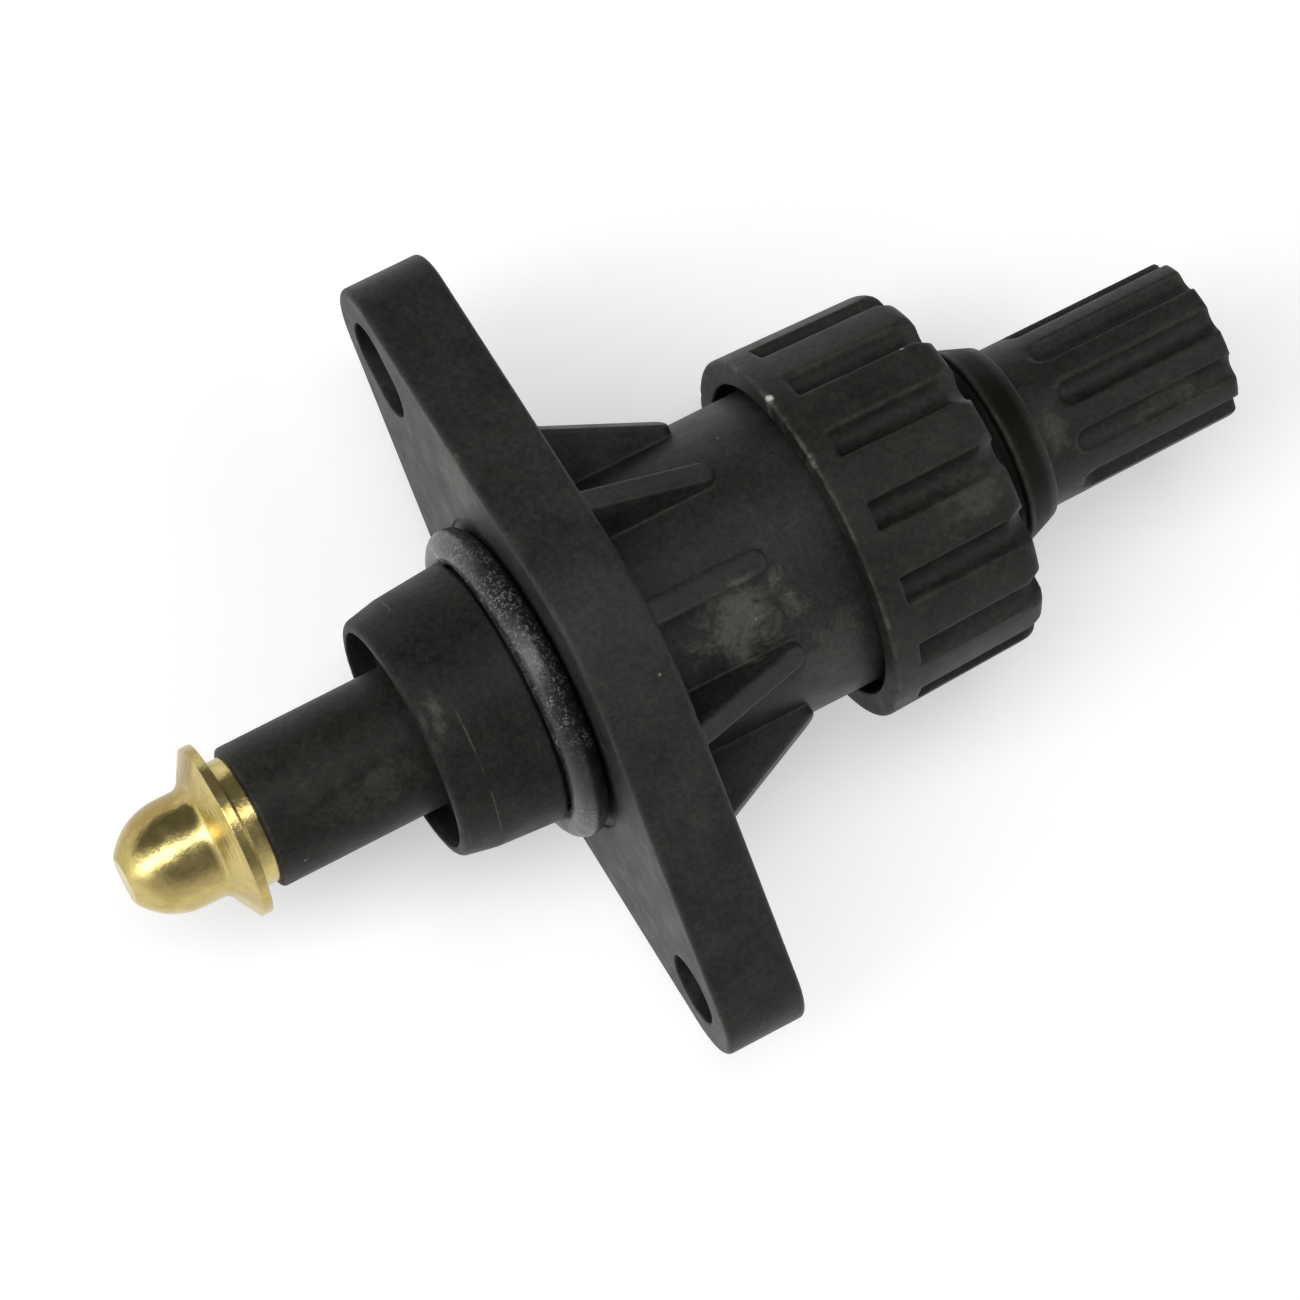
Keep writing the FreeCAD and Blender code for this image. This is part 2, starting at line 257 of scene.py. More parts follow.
# 1 along edges, 0 on open faces: how far a rounded normal turns from the true one
def edgeMask(tree, width, gain, samples=4):
    rounded = tree.nodes.new("ShaderNodeBevel")
    rounded.samples = samples
    rounded.inputs["Radius"].default_value = width
    geometry = tree.nodes.new("ShaderNodeNewGeometry")
    dot = vectorNode(tree, "DOT_PRODUCT", rounded.outputs["Normal"])
    tree.links.new(geometry.outputs["Normal"], dot.inputs[1])
    away = times(tree, lessen(tree, 1.0, dot.outputs["Value"]), gain)
    kept = tree.nodes.new("ShaderNodeAttribute")  # worked out with the surface, where the piece has it
    kept.attribute_name = "wear"
    return larger(tree, away, kept.outputs["Fac"]), rounded.outputs["Normal"]


def bump(tree, height, distance, normal=None, strength=0.6):
    node = tree.nodes.new("ShaderNodeBump")
    node.inputs["Distance"].default_value = distance
    node.inputs["Strength"].default_value = strength
    tree.links.new(height, node.inputs["Height"])
    if normal is not None:
        tree.links.new(normal, node.inputs["Normal"])
    return node.outputs["Normal"]


# 1 inside a stretched round patch on the piece, 0 outside, with a ragged, gritty border
def patchAt(tree, place, point, reach, ragged, eatenShare=0.85, fullDepth=0.40):
    node = tree.nodes.new("ShaderNodeMapping")
    node.vector_type = "TEXTURE"  # takes the point away and divides by the reach
    node.inputs["Location"].default_value = [v * mm for v in point]
    node.inputs["Scale"].default_value = [v * mm for v in reach]
    tree.links.new(place, node.inputs["Vector"])
    size = vectorNode(tree, "LENGTH", node.outputs["Vector"])
    inside = lessen(tree, 1.0, size.outputs["Value"])
    eaten = times(tree, lessen(tree, 1.0, ragged), eatenShare)
    return ramp(tree, lessen(tree, inside, eaten), [(0.0, 0.0), (fullDepth, 1.0)])


# 1 on small scattered dots: near the middle of a share of the cells
def speckDots(tree, place, dots, softShare=0.05):
    cells = tree.nodes.new("ShaderNodeTexVoronoi")
    cells.inputs["Scale"].default_value = dots["scale"]
    tree.links.new(place, cells.inputs["Vector"])
    start = 1 - dots["share"]
    some = ramp(tree, cells.outputs["Color"], [(start, 0.0), (start + softShare, 1.0)])
    near = ramp(tree, cells.outputs["Distance"], [(dots["reach"] / 2, 1.0), (dots["reach"], 0.0)])
    return times(tree, near, some)


# 1 on a band round the axis, centred on a place along X, and falling to 0 at its half width
def bandAt(tree, place, centre, half, fullShare=0.35):
    split = tree.nodes.new("ShaderNodeSeparateXYZ")
    tree.links.new(place, split.inputs["Vector"])
    offset = mathNode(tree, "ADD", split.outputs["X"], -centre * mm, False)
    gap = mathNode(tree, "ABSOLUTE", offset, 0.0)
    return ramp(tree, mathNode(tree, "DIVIDE", gap, half * mm), [(fullShare, 1.0), (1.0, 0.0)], True)


# 0 on a disc square to the axis, 1 elsewhere
def outsideDisc(tree, place, centre, half, radius):
    flat = vectorNode(tree, "MULTIPLY", place)
    flat.inputs[1].default_value = (0, 1, 1)
    size = vectorNode(tree, "LENGTH", flat.outputs["Vector"])
    inside = mathNode(tree, "LESS_THAN", size.outputs["Value"], radius * mm)
    return lessen(tree, 1.0, times(tree, inside, bandAt(tree, place, centre, half)))


# black glass-filled nylon: mottled base, scuffs, painted sheen, paler worn edges, painted shade, specks and a
# fine moulded grain
nylonGrain = {
    "cloudy": {"scale": 210, "detail": 6, "rough": 0.66, "low": 0.30, "high": 0.70},
    "tinted": {"scale": 640, "detail": 5, "rough": 0.70, "warp": 0.4, "low": 0.50, "high": 0.72},
    "grit": {"scale": 2300, "detail": 5, "rough": 0.75},
    "scuffed": {"scale": 95, "detail": 6, "rough": 0.68, "warp": 0.6, "low": 0.54, "high": 0.74},
    "ragged": {"scale": 420, "detail": 8, "rough": 0.72, "warp": 0.5, "low": 0.32, "high": 0.66},
    "broken": {"scale": 260, "detail": 4, "rough": 0.60, "low": 0.50, "high": 0.60},
    "chipped": {"scale": 900, "detail": 5, "rough": 0.72, "low": 0.40, "high": 0.62},
    "knocked": {"scale": 480, "detail": 5, "rough": 0.75, "low": 0.50, "high": 0.58},
    "glossy": {"scale": 420, "detail": 5, "rough": 0.60, "low": 0.25, "high": 0.75},
    "coarse": {"scale": 800, "detail": 4, "rough": 0.60},
    "dots": {"scale": 300, "reach": 0.042, "share": 0.45},
    "speckleLevels": (0.32, 0.68), "scuffGrit": [(0.30, 0.45), (0.66, 1.0)],
    "leastChipped": 0.15, "coarseHeight": 0.6, "gritHeight": 0.4,
}


def nylonMaterial(name, look):
    grains = nylonGrain
    mat, tree, shader = newMaterial(name)
    place = objectPlace(tree)
    base = mixColour(tree, mottle(tree, place, grains["cloudy"]), look["dark"], look["light"])
    tinted = times(tree, mottle(tree, place, grains["tinted"]), look["tint"])
    base = mixColour(tree, tinted, base, look["tintColour"])
    grit = noise(tree, place, grains["grit"])
    speckle = ramp(tree, grit, list(zip(grains["speckleLevels"], look["speckle"])))
    base = mixColour(tree, 1.0, base, speckle, "MULTIPLY")
    share = times(tree, mottle(tree, place, grains["scuffed"]), look["scuff"])
    ragged = mottle(tree, place, grains["ragged"])
    # spots in the pale scuff colour: scuffs, and where a look says so, painted sheen highlights
    for point, reach, amount in look["scuffAndSheenSpots"]:
        spot = times(tree, patchAt(tree, place, point, reach, ragged), amount)
        share = larger(tree, share, spot)
    # pale lines round the axis, broken up by noise
    for centre, half, amount in look["paleLines"]:
        line = times(tree, bandAt(tree, place, centre, half), amount)
        share = larger(tree, share, times(tree, line, mottle(tree, place, grains["broken"])))
    gritty = times(tree, share, ramp(tree, grit, grains["scuffGrit"]))
    paint = mixColour(tree, gritty, base, look["scuffAndSheenColour"])
    shine = look["gloss"]
    for centre, half, amount, dull in look["paintedShadeBands"]:  # painted shade: darker colour and less gloss
        band = bandAt(tree, place, centre, half)
        paint = mixColour(tree, times(tree, band, amount), paint, look["paintedShadeColour"])
        shine = times(tree, shine, lessen(tree, 1.0, times(tree, band, dull)))
    edge, rounded = edgeMask(tree, look["edgeWidth"], look["edgeGain"])
    if look["keptFace"]:
        edge = times(tree, edge, outsideDisc(tree, place, *look["keptFace"]))
    chipped = mottle(tree, place, grains["chipped"], grains["leastChipped"])
    worn = times(tree, times(tree, edge, chipped), look["edgeWear"])
    if look["chippedFront"]:
        centre, half, amount = look["chippedFront"]
        front = times(tree, bandAt(tree, place, centre, half), mottle(tree, place, grains["knocked"]))
        worn = larger(tree, worn, times(tree, times(tree, front, edge), amount))
    paint = mixColour(tree, worn, paint, look["wornColour"])
    for point, reach in look["whiteChips"]:
        paint = mixColour(tree, patchAt(tree, place, point, reach, ragged), paint, look["chipColour"])
    dots = times(tree, speckDots(tree, place, grains["dots"]), look["specks"])
    paint = mixColour(tree, dots, paint, look["speckColour"])
    feed(tree, shader.inputs["Base Color"], paint)
    feed(tree, shader.inputs["Roughness"], mottle(tree, place, grains["glossy"], *look["rough"]))
    feed(tree, shader.inputs["Specular IOR Level"], shine)
    coarse = times(tree, noise(tree, place, grains["coarse"]), grains["coarseHeight"])
    height = mathNode(tree, "ADD", coarse, times(tree, grit, grains["gritHeight"]))
    feed(tree, shader.inputs["Normal"], bump(tree, height, look["grain"], rounded))
    return mat


# seal rubber: near black, dusted with pale specks that gather in streaks
rubberGrain = {
    "cloudy": {"scale": 260, "detail": 5, "rough": 0.60, "low": 0.30, "high": 0.72},
    "flecks": {"scale": 3600, "detail": 4, "rough": 0.72, "low": 0.53, "high": 0.62},
    "dots": {"scale": 4600, "reach": 0.50, "share": 0.48},
    "gathered": {"scale": 240, "detail": 3, "rough": 0.60, "warp": 0.8, "low": 0.38, "high": 0.62},
    "glossy": {"scale": 700, "detail": 4, "rough": 0.60, "low": 0.30, "high": 0.70},
    "rugged": {"scale": 2600, "detail": 4, "rough": 0.65},
    "mostFlecked": 0.8,
}


def rubberMaterial(name, look):
    grains = rubberGrain
    mat, tree, shader = newMaterial(name)
    place = objectPlace(tree)
    base = mixColour(tree, mottle(tree, place, grains["cloudy"]), look["dark"], look["light"])
    flecks = mottle(tree, place, grains["flecks"], 0.0, grains["mostFlecked"])
    dust = larger(tree, speckDots(tree, place, grains["dots"]), flecks)
    gathered = times(tree, dust, mottle(tree, place, grains["gathered"]))
    paint = mixColour(tree, times(tree, gathered, look["dust"]), base, look["dustColour"])
    feed(tree, shader.inputs["Base Color"], paint)
    feed(tree, shader.inputs["Roughness"], mottle(tree, place, grains["glossy"], *look["rough"]))
    feed(tree, shader.inputs["Specular IOR Level"], look["gloss"])
    rugged = noise(tree, place, grains["rugged"])
    feed(tree, shader.inputs["Normal"], bump(tree, rugged, look["grain"]))
    return mat


# turned brass: fine rings round X from noise that varies only along X, under cloudy tarnish and a brownish
# painted dark reflection on the upper flank
brassGrain = {
    "rings": {"scale": 9000, "detail": 3, "rough": 0.60},
    "tarnish": {"scale": 330, "detail": 6, "rough": 0.65, "warp": 0.5, "low": 0.35, "high": 0.72},
    "ragged": {"scale": 420, "detail": 6, "rough": 0.65, "low": 0.25, "high": 0.60},
    "glossy": {"scale": 520, "detail": 5, "rough": 0.60, "low": 0.30, "high": 0.75},
    "dents": {"scale": 900, "detail": 5, "rough": 0.60},
    "ringStretch": (1, 0.02, 0.02), "ringStrength": 0.5, "leastRagged": 0.3,
}


def brassMaterial(name, look):
    grains = brassGrain
    mat, tree, shader = newMaterial(name)
    place = objectPlace(tree)
    rings = noise(tree, objectPlace(tree, grains["ringStretch"]), grains["rings"])
    base = mixColour(tree, mottle(tree, place, grains["tarnish"]), look["bright"], look["dull"])
    ragged = mottle(tree, place, grains["ragged"], grains["leastRagged"])
    # painted dark reflection: a brownish patch darkens the dome's upper flank
    for point, reach, amount in look["darkReflectionSpots"]:
        spot = times(tree, patchAt(tree, place, point, reach, ragged), amount)
        base = mixColour(tree, spot, base, look["darkReflectionColour"])
    edge, rounded = edgeMask(tree, look["edgeWidth"], look["edgeGain"])
    paint = mixColour(tree, times(tree, edge, look["edgeWear"]), base, look["edgeColour"])
    feed(tree, shader.inputs["Base Color"], paint)
    feed(tree, shader.inputs["Metallic"], 1.0)
    feed(tree, shader.inputs["Roughness"], mottle(tree, place, grains["glossy"], *look["rough"]))
    dents = bump(tree, noise(tree, place, grains["dents"]), look["dentDepth"], rounded)
    turned = bump(tree, rings, look["ringDepth"], dents, grains["ringStrength"])
    feed(tree, shader.inputs["Normal"], turned)
    return mat


# looks of the five materials; places and reaches in them are on the piece, in millimetres
# scuff spots (some of them painted sheen highlights) and spots of painted dark reflection are (point, reach,
# amount), whiteChips (point, reach), pale lines and chippedFront (place along X, half width, amount), bands of
# painted shade (place, half width, share of their colour, loss of gloss), and keptFace, which has no edge
# wear, (place, half width, radius)
plainNylon = {
    "tint": 0.50, "scuff": 0.20, "specks": 0.8, "speckle": (0.50, 1.50),
    "paleLines": [], "paintedShadeBands": [], "keptFace": None, "chippedFront": None, "whiteChips": [],
}
bodyLook = {
    **plainNylon,
    "dark": (0.0090, 0.0092, 0.0083), "light": (0.0205, 0.0207, 0.0188),
    "tintColour": (0.0270, 0.0268, 0.0215), "scuffAndSheenColour": (0.078, 0.078, 0.068),
    # the last two spots, on the flange's front face beside the seal ring, are painted sheen highlights; the
    # rest are scuffs
    "scuffAndSheenSpots": [((13.0, -3.0, 11.3), (7.5, 5.0, 4.0), 1.0), ((18.6, -8.2, 8.3), (6.0, 4.5, 5.0), 0.45),
                   ((-9.2, 1.2, 9.7), (1.2, 4.0, 2.0), 0.80), ((0.0, 14.5, 6.5), (1.0, 6.0, 6.0), 0.85),
                   ((0.0, -15.0, 5.0), (1.0, 6.0, 6.0), 0.35)],
    "paleLines": [(-8.0, 0.10, 0.8), (-10.3, 0.25, 0.45)],
    # painted shade: a band along the spigot, darker and less glossy
    "paintedShadeBands": [(-7.6, 8.4, 0.10, 0.55)], "paintedShadeColour": (0.0048, 0.0044, 0.0034),
    "keptFace": (0.0, 1.4, 13.0),
    "edgeWidth": 0.35 * mm, "edgeGain": 2.6, "edgeWear": 0.75, "wornColour": (0.110, 0.110, 0.098),
    "speckColour": (0.16, 0.16, 0.145),
    "rough": (0.38, 0.58), "gloss": 0.25, "grain": 0.12 * mm,
}
nutLook = {
    **plainNylon,
    "dark": (0.0078, 0.0080, 0.0067), "light": (0.0178, 0.0180, 0.0156), "speckle": (0.50, 1.52),
    "tintColour": (0.0255, 0.0253, 0.0188), "scuffAndSheenColour": (0.066, 0.066, 0.055),
    "scuffAndSheenSpots": [((31.0, -3.0, 13.6), (5.0, 3.5, 3.0), 0.45)],
    "edgeWidth": 0.28 * mm, "edgeGain": 2.4, "edgeWear": 0.40, "wornColour": (0.15, 0.15, 0.132),
    "chippedFront": (22.0, 0.75, 0.7),
    "whiteChips": [((22.25, 9.9, 10.5), (0.45, 0.40, 0.60)), ((32.4, 8.9, 11.0), (0.38, 0.38, 0.38))],
    "chipColour": (0.50, 0.50, 0.46), "speckColour": (0.17, 0.17, 0.155),
    "rough": (0.42, 0.60), "gloss": 0.20, "grain": 0.12 * mm,
}
spindleLook = {
    **plainNylon,
    "dark": (0.0080, 0.0082, 0.0070), "light": (0.0185, 0.0187, 0.0162),
    "tintColour": (0.0245, 0.0241, 0.0178), "scuff": 0.22, "scuffAndSheenColour": (0.066, 0.066, 0.054),
    # the first spot, on the knob's base behind the collar, is a painted reflection; the rest are scuffs
    "scuffAndSheenSpots": [((41.6, -1.4, 6.2), (2.0, 3.2, 2.0), 0.80), ((51.0, -3.2, 5.4), (5.0, 2.5, 2.5), 0.45),
                   ((-15.0, -2.0, 5.1), (6.0, 3.0, 3.0), 0.40)],
    # painted shade: dark bands over the thread, groove and collar between the nut and the knob, and a band of
    # lower gloss along the rod
    "paintedShadeBands": [(38.5, 1.5, 0.95, 0.70), (36.5, 0.8, 0.80, 0.60), (-17.5, 9.0, 0.0, 0.35)],
    "paintedShadeColour": (0.0048, 0.0036, 0.0018),
    "edgeWidth": 0.22 * mm, "edgeGain": 2.2, "edgeWear": 0.45, "wornColour": (0.085, 0.085, 0.072),
    "specks": 0.7, "speckColour": (0.15, 0.15, 0.13),
    "rough": (0.40, 0.58), "gloss": 0.24, "grain": 0.11 * mm,
}
sealLook = {
    "dark": (0.006, 0.006, 0.0062), "light": (0.014, 0.014, 0.014),
    "dust": 0.85, "dustColour": (0.24, 0.24, 0.222),
    "rough": (0.22, 0.40), "gloss": 0.50, "grain": 0.06 * mm,
}
brassLook = {
    "bright": (0.60, 0.49, 0.205), "dull": (0.40, 0.31, 0.10),
    # painted dark reflection on the dome's upper flank
    "darkReflectionColour": (0.33, 0.235, 0.075), "darkReflectionSpots": [((-29.5, 4.6, 1.8), (9.0, 4.2, 5.0), 0.95)],
    "edgeWidth": 0.12 * mm, "edgeGain": 3.0, "edgeWear": 0.4, "edgeColour": (0.90, 0.80, 0.48),
    "rough": (0.16, 0.34), "ringDepth": 0.03 * mm, "dentDepth": 0.07 * mm,
}
bodyNylon = nylonMaterial("bodyNylon", bodyLook)
nutNylon = nylonMaterial("nutNylon", nutLook)
spindleNylon = nylonMaterial("spindleNylon", spindleLook)
sealRubber = rubberMaterial("sealRubber", sealLook)
turnedBrass = brassMaterial("turnedBrass", brassLook)
print("materials made")


def finishSolid(node, mat, splitAngle=28, weldGap=0.0005 * mm):  # smooth between the solid's own sharp edges
    obj = nodes[node]
    obj.data.materials.clear()
    obj.data.materials.append(mat)
    obj.data.polygons.foreach_set("use_smooth", np.ones(len(obj.data.polygons), bool))
    weld = obj.modifiers.new("weld", "WELD")
    weld.merge_threshold = weldGap
    split = obj.modifiers.new("split", "EDGE_SPLIT")
    split.split_angle = math.radians(splitAngle)
    weighted = obj.modifiers.new("weighted", "WEIGHTED_NORMAL")
    weighted.keep_sharp = True


finishSolid("valve_body", bodyNylon)
finishSolid("body_seal_ring", sealRubber)
finishSolid("stem_seal_ring", sealRubber)
finishSolid("gland_ring", nutNylon)
finishSolid("pintle_tip", turnedBrass, splitAngle=24)
print("solids finished")


# gland nut: a closed profile turned round X, with channels cut from the outer cone
nutForm = {
    "boreRadius": 11.80, "collarRadius": 12.55, "holeRadius": 8.10, "draft": 0.4,
    "collarDepth": 2.2, "rearWall": 2.5,
    "collarRound": 0.12, "frontRound": 0.3, "rearRound": 1.3, "holeRound": 0.3,
    "channels": 15, "channelPhase": 4.0, "cutter": 1.15, "channelDepth": 1.2, "channelSoft": 0.18,
    "channelSetback": 2.0, "endAhead": 0.10, "endBehind": 0.14, "endLift": 3.0,
    "runoutLength": 1.4, "runoutDrop": 1.0, "outerMargin": 0.3, "outerStart": 1.2,
    "seed": 11, "chips": 22, "chipDepth": 0.14, "chipWidths": (0.006, 0.022), "chipShares": (0.10, 1.0),
    "chipSide": -15.0, "chipSpread": 0.40, "chipReach": 0.35, "chipHeight": 0.4,
    "bigChip": -43.0, "bigChipWidth": 0.024, "bigChipDepth": 0.24,
    "edgeWear": 0.45, "edgeWearEnd": 1.0, "creaseWear": 0.6, "chipWear": 5.0,
    "columns": 690,
}


def makeNut(form):
    low, high = (np.array(v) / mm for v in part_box("gland_nut"))
    front, rear, frontRadius = low[0], high[0], high[2]
    rearRadius = frontRadius - form["draft"]
    collarEnd, seat = front + form["collarDepth"], rear - form["rearWall"]
    line = roundedLine([
        (front, form["collarRadius"], form["collarRound"], 0.35),
        (front, frontRadius, form["frontRound"], 0.22),
        (rear, rearRadius, form["rearRound"], 0.30),
        (rear, form["holeRadius"], form["holeRound"], 0.6),
        (seat, form["holeRadius"], 0.0, 0.9),
        (seat, form["boreRadius"], 0.0, 1.2),
        (collarEnd, form["boreRadius"], 0.0, 0.4),
        (collarEnd, form["collarRadius"], 0.0, 0.6),
    ], closed=True)
    angle = np.linspace(0, turn, form["columns"], endpoint=False)[None, :]
    place, plain = line[:, 0][:, None], line[:, 1][:, None]

    # channels: the floor falls away past the bend at the rear, and the front ends are square
    cone = frontRadius - form["draft"] * (place - front) / (rear - front)
    across = acrossChannel(angle, cone, form["channels"], viewAngle(form["channelPhase"]))
    lift = form["cutter"] - form["channelDepth"]
    past = np.clip(place - rear + form["runoutLength"], 0, None)
    fallen = cone - past * form["runoutDrop"] / form["runoutLength"]
    cut = np.minimum(channelRadius(cone, across, form["cutter"], lift),
                     channelRadius(fallen, across, form["cutter"], lift))
    start = front + form["channelSetback"]
    begun = smoothStep(place, start - form["endAhead"], start + form["endBehind"])
    cut = cut + form["endLift"] * (1 - begun)
    outer = plain > cone - form["channelDepth"] - form["runoutDrop"] - form["outerMargin"]
    outer = outer & (place > front + form["outerStart"])
    cutRadius, crease = softLower(plain, cut, form["channelSoft"])
    radius = np.where(outer, cutRadius, plain)

    # small knocks along the front edge, crowded on the side that faces up, and one that shows best
    rng = np.random.default_rng(form["seed"])
    half = form["chips"] // 2
    centre = np.append(rng.uniform(0, turn, half),
                       rng.normal(viewAngle(form["chipSide"]), form["chipSpread"], half))
    width = rng.uniform(*form["chipWidths"], len(centre))
    deep = rng.uniform(*form["chipShares"], len(centre)) * form["chipDepth"]
    centre[0], width[0], deep[0] = viewAngle(form["bigChip"]), form["bigChipWidth"], form["bigChipDepth"]
    apart = np.mod(angle[0][:, None] - centre + math.pi, turn) - math.pi
    knocks = (deep * np.exp(-(apart / width) ** 2)).max(1)[None, :]
    nearEdge = np.exp(-((place - front) / form["chipReach"]) ** 2)
    knocks = knocks * nearEdge * (plain > form["collarRadius"] + form["chipHeight"])
    radius = radius - knocks

    edges = cornerWear(line, True) * (place < front + form["edgeWearEnd"])
    wear = np.maximum(edges, np.where(outer, crease, 0) * form["creaseWear"])
    wear = np.clip(wear * form["edgeWear"] + form["chipWear"] * knocks, 0, 1)
    return gridMesh("gland_nut_skin", sweptPoints(line[:, 0], radius, angle), wear, True)


nutSkin = makeNut(nutForm)
nutSkin.data.materials.append(nutNylon)
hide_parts("gland_nut")
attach(nutSkin, "nut")
print("gland nut made:", len(nutSkin.data.polygons), "faces")


# spindle: socket, rod, helical thread, run-out groove, collar and fluted knob in one turned surface
spindleForm = {
    "socketRadius": 2.52, "socketDepth": 8.0, "socketRound": 0.1, "poleRadius": 0.02,
    "rodRadius": 5.5, "rodRound": 0.35,
    "sealPlace": -5.7, "sealHalf": 1.05, "sealRadius": 3.64, "sealRound": 0.08,
    "threadFront": 10.4, "threadChamfer": 0.7, "threadRound": 0.1,
    "threadPitch": 2.0, "threadDepth": 0.85, "threadPhase": 0.25, "threadShape": 0.85,
    "threadRise": (0.3, 2.0), "threadFall": (0.6, 0.05), "threadHeight": 0.5,
    "runoutWidth": 1.3, "runoutDepth": 0.85, "runoutRound": 0.35,
    "collarWidth": 2.9, "collarRound": 0.4, "collarRearRadius": 6.9, "collarRearRound": 0.3,
    "knobLength": 16.0, "knobBaseRadius": 6.4, "knobBaseRound": 0.2,
    "knobEndRadius": 6.3, "knobEndRound": 0.35,
    "flutes": 10, "flutePhase": 30.0, "cutter": 1.1, "fluteDepth": 0.85, "fluteSetback": 2.5,
    "fluteSoft": 0.22, "fluteStart": 0.5, "fluteMargin": 0.2,
    "creaseWear": 0.6, "crestPower": 3, "columns": 280,
}


def makeSpindle(form):
    low, high = (np.array(v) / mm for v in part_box("adjuster_spindle"))
    front, end, crest = low[0], high[0], high[2]
    base = end - form["knobLength"]
    collar = base - form["collarWidth"]
    runout = collar - form["runoutWidth"]
    rod, root = form["rodRadius"], crest - form["runoutDepth"]
    socket, thread = front + form["socketDepth"], form["threadFront"]
    sealFront, sealRear = form["sealPlace"] - form["sealHalf"], form["sealPlace"] + form["sealHalf"]
    line = roundedLine([
        (socket, form["poleRadius"], 0, 1.5),
        (socket, form["socketRadius"], 0, 3.0),
        (front, form["socketRadius"], form["socketRound"], 1.0),
        (front, rod, form["rodRound"], 1.2),
        (sealFront, rod, form["sealRound"], 1.0),
        (sealFront, form["sealRadius"], form["sealRound"], 1.0),
        (sealRear, form["sealRadius"], form["sealRound"], 1.0),
        (sealRear, rod, form["sealRound"], 2.0),
        (thread, rod, form["threadRound"], 1.0),
        (thread + form["threadChamfer"], crest, 0.0, 0.2),
        (runout, crest, form["collarRound"], 0.3),
        (runout, root, form["runoutRound"], 0.25),
        (collar, root, form["runoutRound"], 0.3),
        (collar, crest, form["collarRound"], 0.3),
        (base, form["collarRearRadius"], form["collarRearRound"], 0.3),
        (base, form["knobBaseRadius"], form["knobBaseRound"], 0.30),
        (end, form["knobEndRadius"], form["knobEndRound"], 0.5),
        (end, form["poleRadius"], 0, 1.0),
    ])
    angle = np.linspace(0, turn, form["columns"], endpoint=False)[None, :]
    place, plain = line[:, 0][:, None], line[:, 1][:, None]

    # thread: the crest falls by depth times a power of a raised cosine of x / pitch - angle / turn
    phase = place / form["threadPitch"] - angle / turn - form["threadPhase"]
    valley = form["threadDepth"] * (0.5 - 0.5 * np.cos(turn * phase)) ** form["threadShape"]
    rise, fall = form["threadRise"], form["threadFall"]
    inThread = smoothStep(place, thread + rise[0], thread + rise[1])
    inThread = inThread * (1 - smoothStep(place, runout - fall[0], runout - fall[1]))
    inThread = inThread * (plain > rod + form["threadHeight"])
    radius = plain - valley * inThread

    # flutes: a round cutter with a ball nose, whose width shrinks ahead of its start
    taper = form["knobEndRadius"] - form["knobBaseRadius"]
    cone = form["knobBaseRadius"] + taper * (place - base) / (end - base)
    nose = np.clip(base + form["fluteSetback"] + form["cutter"] - place, 0, form["cutter"])
    cutter = np.sqrt(np.clip(form["cutter"] ** 2 - nose ** 2, 0, None))
    across = acrossChannel(angle, cone, form["flutes"], viewAngle(form["flutePhase"]))
    flute = channelRadius(cone, across, cutter, form["cutter"] - form["fluteDepth"])
    onKnob = (place > base + form["fluteStart"]) & (plain > cone - form["fluteDepth"] - form["fluteMargin"])
    fluted, crease = softLower(plain, flute, form["fluteSoft"])
    radius = np.where(onKnob, fluted, radius)

    wear = np.maximum(cornerWear(line, False), np.where(onKnob, crease, 0) * form["creaseWear"])
    wear = np.maximum(wear, inThread * np.clip(np.cos(turn * phase), 0, 1) ** form["crestPower"])
    return gridMesh("adjuster_spindle_skin", sweptPoints(line[:, 0], radius, angle), wear, False)


spindleSkin = makeSpindle(spindleForm)
spindleSkin.data.materials.append(spindleNylon)
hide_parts("adjuster_spindle")
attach(spindleSkin, "spindle")
print("spindle made:", len(spindleSkin.data.polygons), "faces")


# floor under the flange's lower edge, pale and plain; half and gap are in metres
floorForm = {
    "half": 3.0, "gap": 0.1 * mm, "colour": (0.80, 0.80, 0.80), "rough": 0.9, "gloss": 0.1,
    "glow": 0.34, "glowColour": (1.0, 1.0, 1.0),
}


def makeFloor(form):
    h, z = form["half"], cadBox[0][2] - form["gap"]
    mesh = bpy.data.meshes.new("floor")
    mesh.from_pydata([(-h, -h, z), (h, -h, z), (h, h, z), (-h, h, z)], [], [(0, 1, 2, 3)])
    floor = bpy.data.objects.new("floor", mesh)
    bpy.context.scene.collection.objects.link(floor)
    mat, tree, shader = newMaterial("paleFloor")
    feed(tree, shader.inputs["Base Color"], form["colour"])
    feed(tree, shader.inputs["Roughness"], form["rough"])
    feed(tree, shader.inputs["Specular IOR Level"], form["gloss"])
    feed(tree, shader.inputs["Emission Color"], form["glowColour"])
    # seen and mirrored paler than it lights, so the shadow stays faint
    path = tree.nodes.new("ShaderNodeLightPath")
    seen = larger(tree, path.outputs["Is Camera Ray"], path.outputs["Is Glossy Ray"])
    seen = larger(tree, seen, path.outputs["Is Transmission Ray"])
    feed(tree, shader.inputs["Emission Strength"], times(tree, seen, form["glow"]))
    mesh.materials.append(mat)


makeFloor(floorForm)

# lamps: place in metres, length and width of the panel, watts, aimed at the middle of the valve
lampSet = {
    "strip": {"at": (-0.30, 0.10, 0.45), "size": (1.10, 0.21), "watts": 3.5},
    "fill": {"at": (0.50, -0.20, 0.46), "size": (0.60, 0.60), "watts": 1.5},
    "nose": {"at": (-0.60, 0.16, 0.14), "size": (0.35, 0.35), "watts": 0.4},
}
valveMiddle = Vector((0.011, 0, 0))


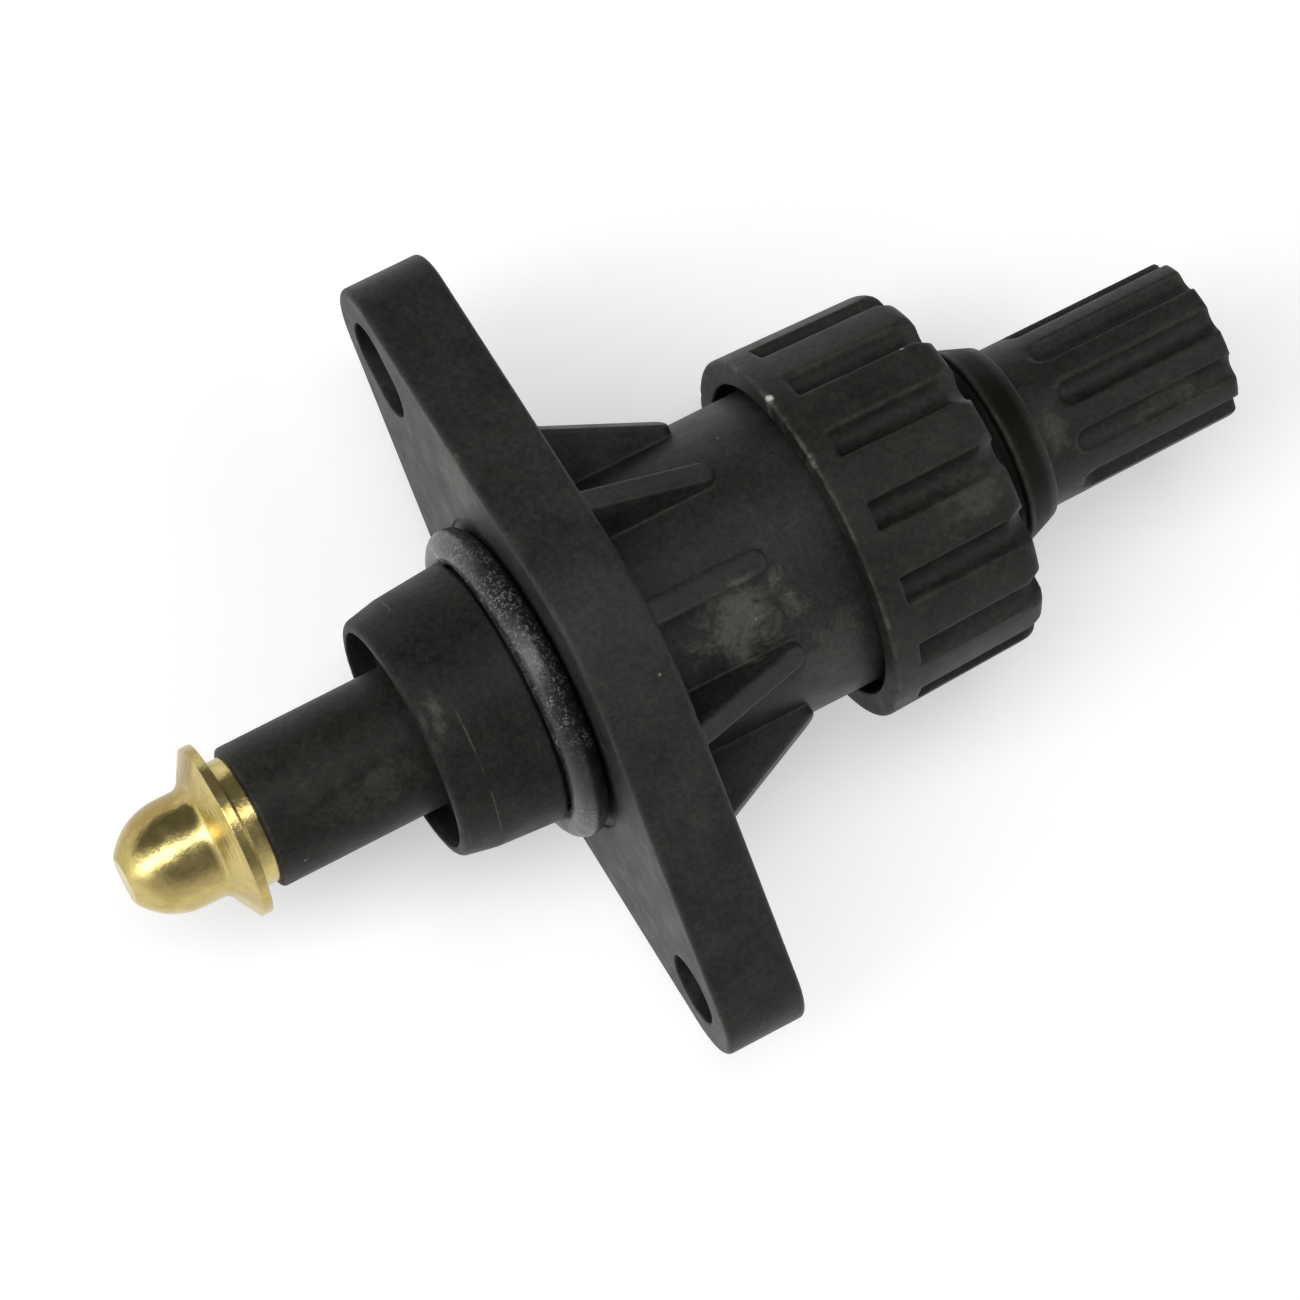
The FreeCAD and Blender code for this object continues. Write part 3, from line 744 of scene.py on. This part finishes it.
def makeLamp(name, lamp, nearlyAlong=0.9):
    data = bpy.data.lights.new(name, "AREA")
    data.shape = "RECTANGLE"
    data.size, data.size_y = lamp["size"]
    data.energy = lamp["watts"]
    obj = bpy.data.objects.new(name, data)
    at = Vector(lamp["at"])
    obj.location = at
    back = (at - valveMiddle).normalized()
    long = Vector((1, 0, 0)) - back * back.x  # the panel's length lies as near to X as it can
    if abs(back.x) >= nearlyAlong:
        long = Vector((0, 1, 0)).cross(back)
    long.normalize()
    obj.rotation_euler = Matrix((long, back.cross(long), back)).transposed().to_euler()
    bpy.context.scene.collection.objects.link(obj)


for lampName, lamp in lampSet.items():
    makeLamp(lampName, lamp)

# surroundings: a pale horizon on the near side (-Y), dimmer on the far side and overhead, plain white where
# the camera sees past the floor
skyForm = {
    "overhead": (0.15, 0.15, 0.15), "near": 0.85, "far": 0.18,
    "nearEnd": 0.25, "farStart": 0.75, "overheadStart": 0.85, "seen": (1.0, 1.0, 1.0),
}


def makeSky(form):
    world = bpy.data.worlds.new("studio")
    bpy.context.scene.world = world
    world.use_nodes = True
    tree = world.node_tree
    tree.nodes.clear()
    out = tree.nodes.new("ShaderNodeOutputWorld")
    back = tree.nodes.new("ShaderNodeBackground")
    coord = tree.nodes.new("ShaderNodeTexCoord")
    split = tree.nodes.new("ShaderNodeSeparateXYZ")
    tree.links.new(coord.outputs["Generated"], split.inputs["Vector"])
    aside = mathNode(tree, "MULTIPLY", split.outputs["Y"], 0.5, False)  # -1 to 1 becomes 0 to 1
    aside = mathNode(tree, "ADD", aside, 0.5)
    horizon = ramp(tree, aside, [(form["nearEnd"], form["near"]), (form["farStart"], form["far"])], True)
    height = ramp(tree, split.outputs["Z"], [(0.0, 0.0), (form["overheadStart"], 1.0)], True)
    shade = mixColour(tree, height, horizon, form["overhead"])
    path = tree.nodes.new("ShaderNodeLightPath")
    seen = mixColour(tree, path.outputs["Is Camera Ray"], shade, form["seen"])
    tree.links.new(seen, back.inputs["Color"])
    tree.links.new(back.outputs["Background"], out.inputs["Surface"])


makeSky(skyForm)
print("floor, lamps and surroundings set")

# camera at the photograph's viewing angle: it stands nearly overhead, a little to the nose's side
cameraForm = {
    "at": (-0.0710, 0.0005, 0.3675),
    "right": (0.87102, -0.45223, 0.19184),
    "down": (-0.44342, -0.89187, -0.08917),
    "lens": 143.8, "sensor": 36.0, "clipStart": 0.01,
}


def makeCamera(form):
    data = bpy.data.cameras.new("camera")
    data.lens = form["lens"]
    data.sensor_width = form["sensor"]
    data.clip_start = form["clipStart"]
    obj = bpy.data.objects.new("camera", data)
    right, up = Vector(form["right"]).normalized(), -Vector(form["down"]).normalized()
    back = right.cross(up).normalized()
    up = back.cross(right)
    spin = Matrix((right, up, back)).transposed().to_4x4()
    obj.matrix_world = Matrix.Translation(form["at"]) @ spin
    bpy.context.scene.collection.objects.link(obj)
    bpy.context.scene.camera = obj


makeCamera(cameraForm)
bpy.context.scene.view_settings.view_transform = "Standard"
